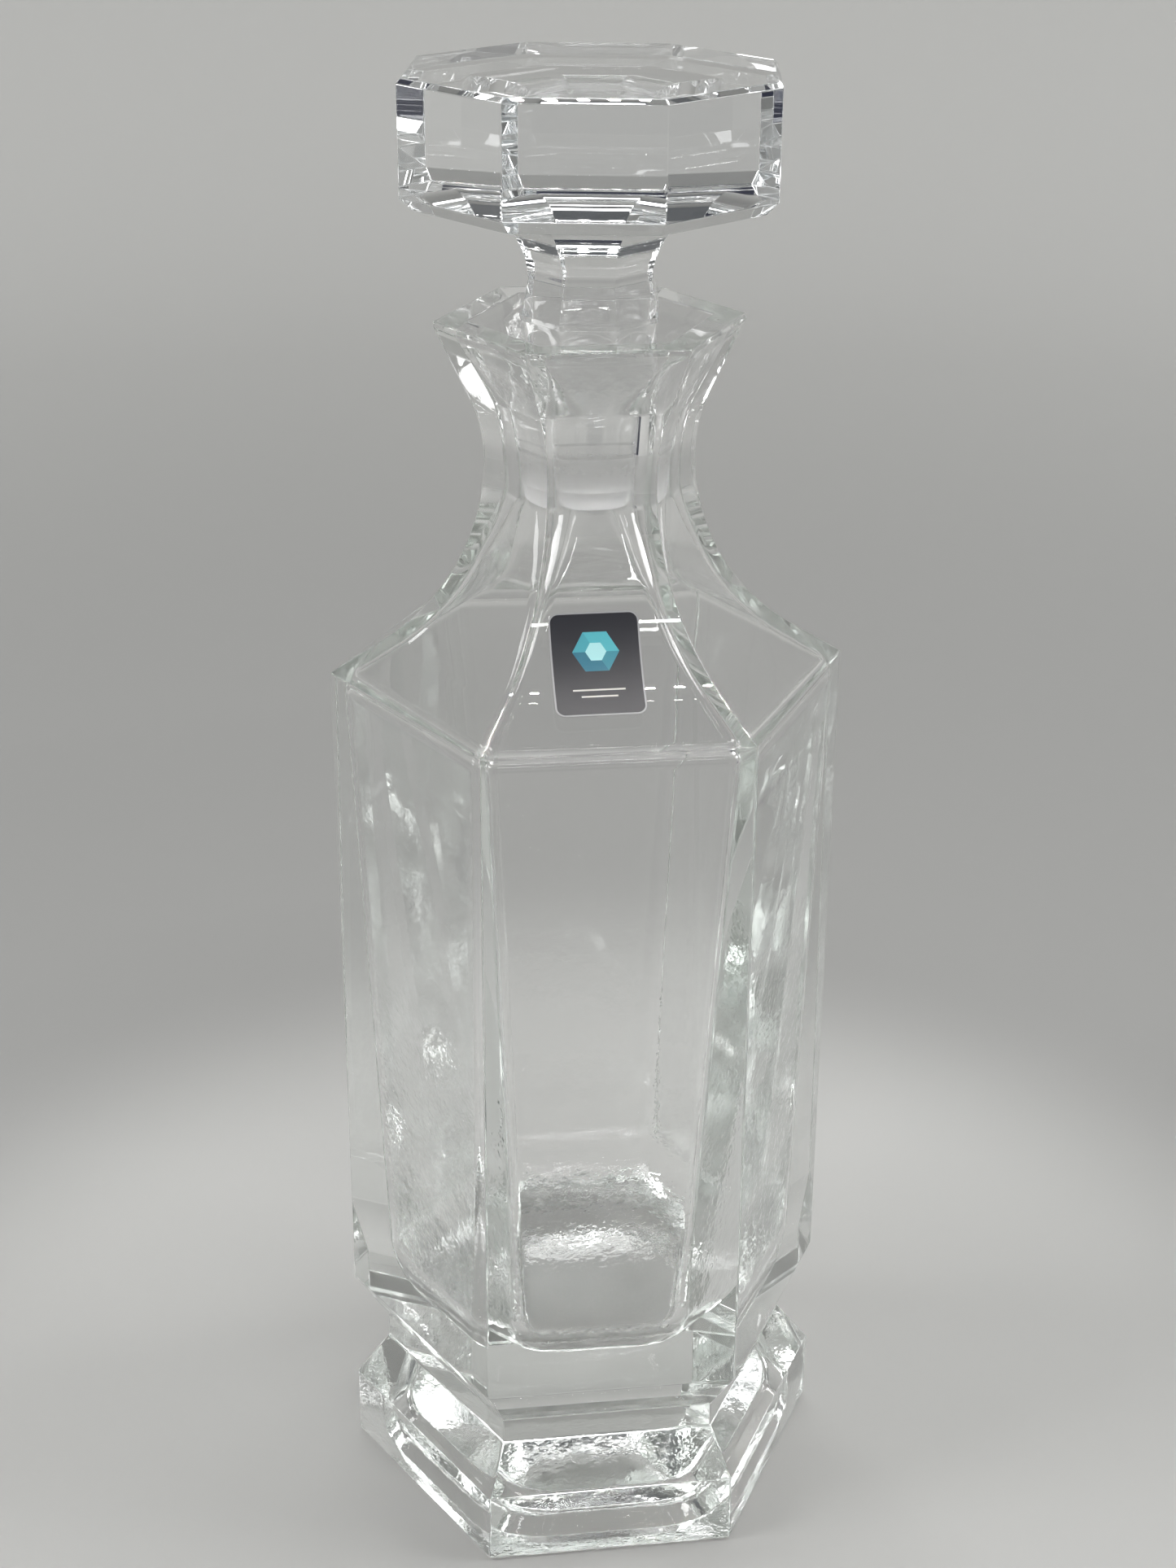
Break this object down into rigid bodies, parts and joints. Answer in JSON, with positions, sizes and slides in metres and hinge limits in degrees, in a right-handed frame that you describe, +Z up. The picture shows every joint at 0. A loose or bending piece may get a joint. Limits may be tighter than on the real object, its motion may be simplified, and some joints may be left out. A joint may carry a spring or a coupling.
{
  "type": "crystal decanter with stopper",
  "caption": "Six-sided clear glass decanter on a waisted foot, with a flared faceted lip, a foil label and a lift-out eight-sided stopper.",
  "frame": {"origin": "centre of the foot's underside, on the surface the decanter stands on", "axes": "+Z up along the decanter's axis, -Y out of the facet that carries the label"},
  "size_m": [0.098, 0.0848, 0.285],
  "materials": {
    "decanter_glass": "clear polished lead crystal, ground matt inside the neck",
    "stopper_glass": "clear polished lead crystal, ground matt on the plug",
    "label_foil": "printed foil sticker, dark ground with a thin silver border"
  },
  "bodies": {
    "bottle": {"decanter": "decanter_glass", "label": "label_foil"},
    "stopper": {"stopper": "stopper_glass"}
  },
  "joints": [
    {"name": "stopper_lift", "type": "slide", "parent": "bottle", "child": "stopper", "axis": [0, 0, 1], "range_m": [0, 0.06]}
  ]
}
